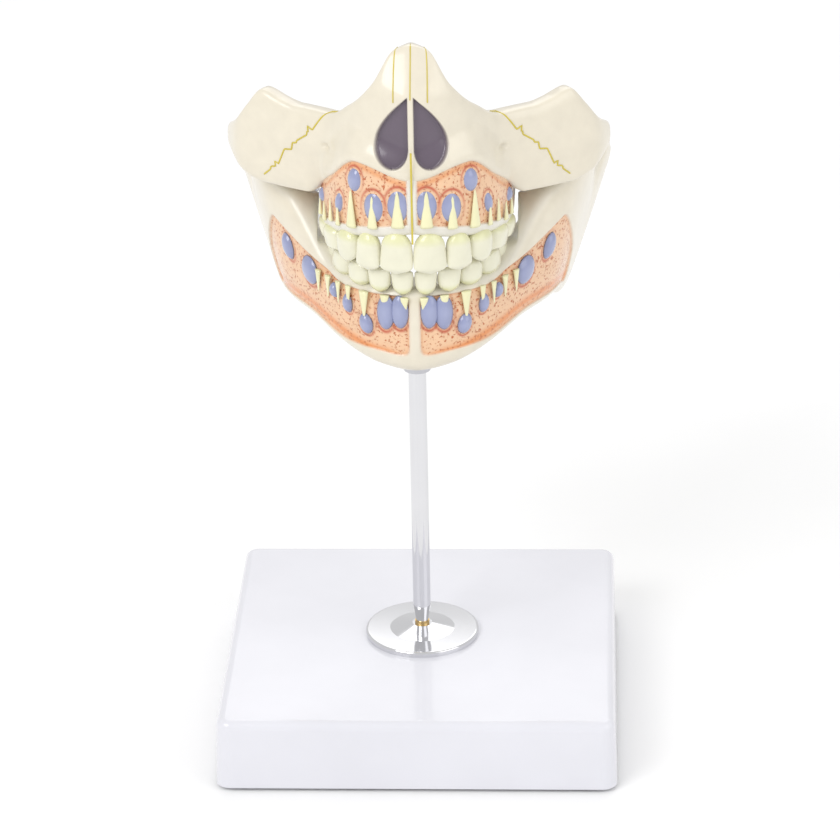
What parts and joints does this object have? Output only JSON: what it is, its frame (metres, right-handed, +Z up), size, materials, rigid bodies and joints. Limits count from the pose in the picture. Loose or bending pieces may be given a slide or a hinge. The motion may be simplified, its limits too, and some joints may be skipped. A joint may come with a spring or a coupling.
{
  "type": "dentition model",
  "caption": "Child's upper and lower jaws with windowed bone, primary teeth and tooth germs, hinged by springs, on a chromed rod and a square moulded stand.",
  "frame": {"origin": "on the table, on the axis of the rod, at the middle of the square stand", "axes": "+Z up along the rod, -Y the way the face looks, +X the model's own left side"},
  "size_m": [0.1012, 0.1161, 0.1826],
  "materials": {
    "base_white": "glossy moulded white",
    "cover_grey": "matt hardboard grey",
    "foot_rubber": "thin soft black non-slip sheet",
    "chrome": "bright chrome plate",
    "brass": "turned brass",
    "zinc_steel": "zinc-plated steel",
    "spring_steel": "plated spring wire",
    "bone": "cast resin, warm cream, hand painted and lacquered",
    "tooth": "lacquered ivory resin",
    "germ": "lacquered lilac blue resin"
  },
  "bodies": {
    "stand": {"base_shell": "base_white", "base_cover": "cover_grey", "non_slip_sheet": "foot_rubber", "flange": "chrome", "rod_ferrule": "brass", "rod": "chrome", "stud_washer": "zinc_steel", "stud_nut": "zinc_steel"},
    "bush": {"chin_bush": "zinc_steel"},
    "lower_jaw": {"mandible": "bone", "lower_left_central_incisor": "tooth", "lower_left_lateral_incisor": "tooth", "lower_left_canine": "tooth", "lower_left_first_molar": "tooth", "lower_left_second_molar": "tooth", "lower_left_germs": "germ", "lower_right_central_incisor": "tooth", "lower_right_lateral_incisor": "tooth", "lower_right_canine": "tooth", "lower_right_first_molar": "tooth", "lower_right_second_molar": "tooth", "lower_right_germs": "germ", "lower_spring_cups": "zinc_steel", "lower_spring_screws": "zinc_steel", "left_spring": "spring_steel", "right_spring": "spring_steel"},
    "upper_jaw": {"maxilla": "bone", "upper_left_central_incisor": "tooth", "upper_left_lateral_incisor": "tooth", "upper_left_canine": "tooth", "upper_left_first_molar": "tooth", "upper_left_second_molar": "tooth", "upper_left_germs": "germ", "upper_right_central_incisor": "tooth", "upper_right_lateral_incisor": "tooth", "upper_right_canine": "tooth", "upper_right_first_molar": "tooth", "upper_right_second_molar": "tooth", "upper_right_germs": "germ", "upper_spring_cups": "zinc_steel", "upper_spring_screws": "zinc_steel"}
  },
  "joints": [
    {"name": "lift_off", "type": "slide", "parent": "stand", "child": "bush", "axis": [0, 0, 1], "range_m": [0, 0.013]},
    {"name": "jaw_swivel", "type": "hinge", "parent": "bush", "child": "lower_jaw", "pos_m": [0, 0, 0.1], "axis": [0, 0, 1], "continuous": true},
    {"name": "jaw_open", "type": "hinge", "parent": "lower_jaw", "child": "upper_jaw", "pos_m": [0, 0.06, 0.131], "axis": [-1, 0, 0], "range_deg": [0, 26], "stiffness_Nm_per_rad": 0.03, "deforming": ["left_spring", "right_spring"]}
  ]
}
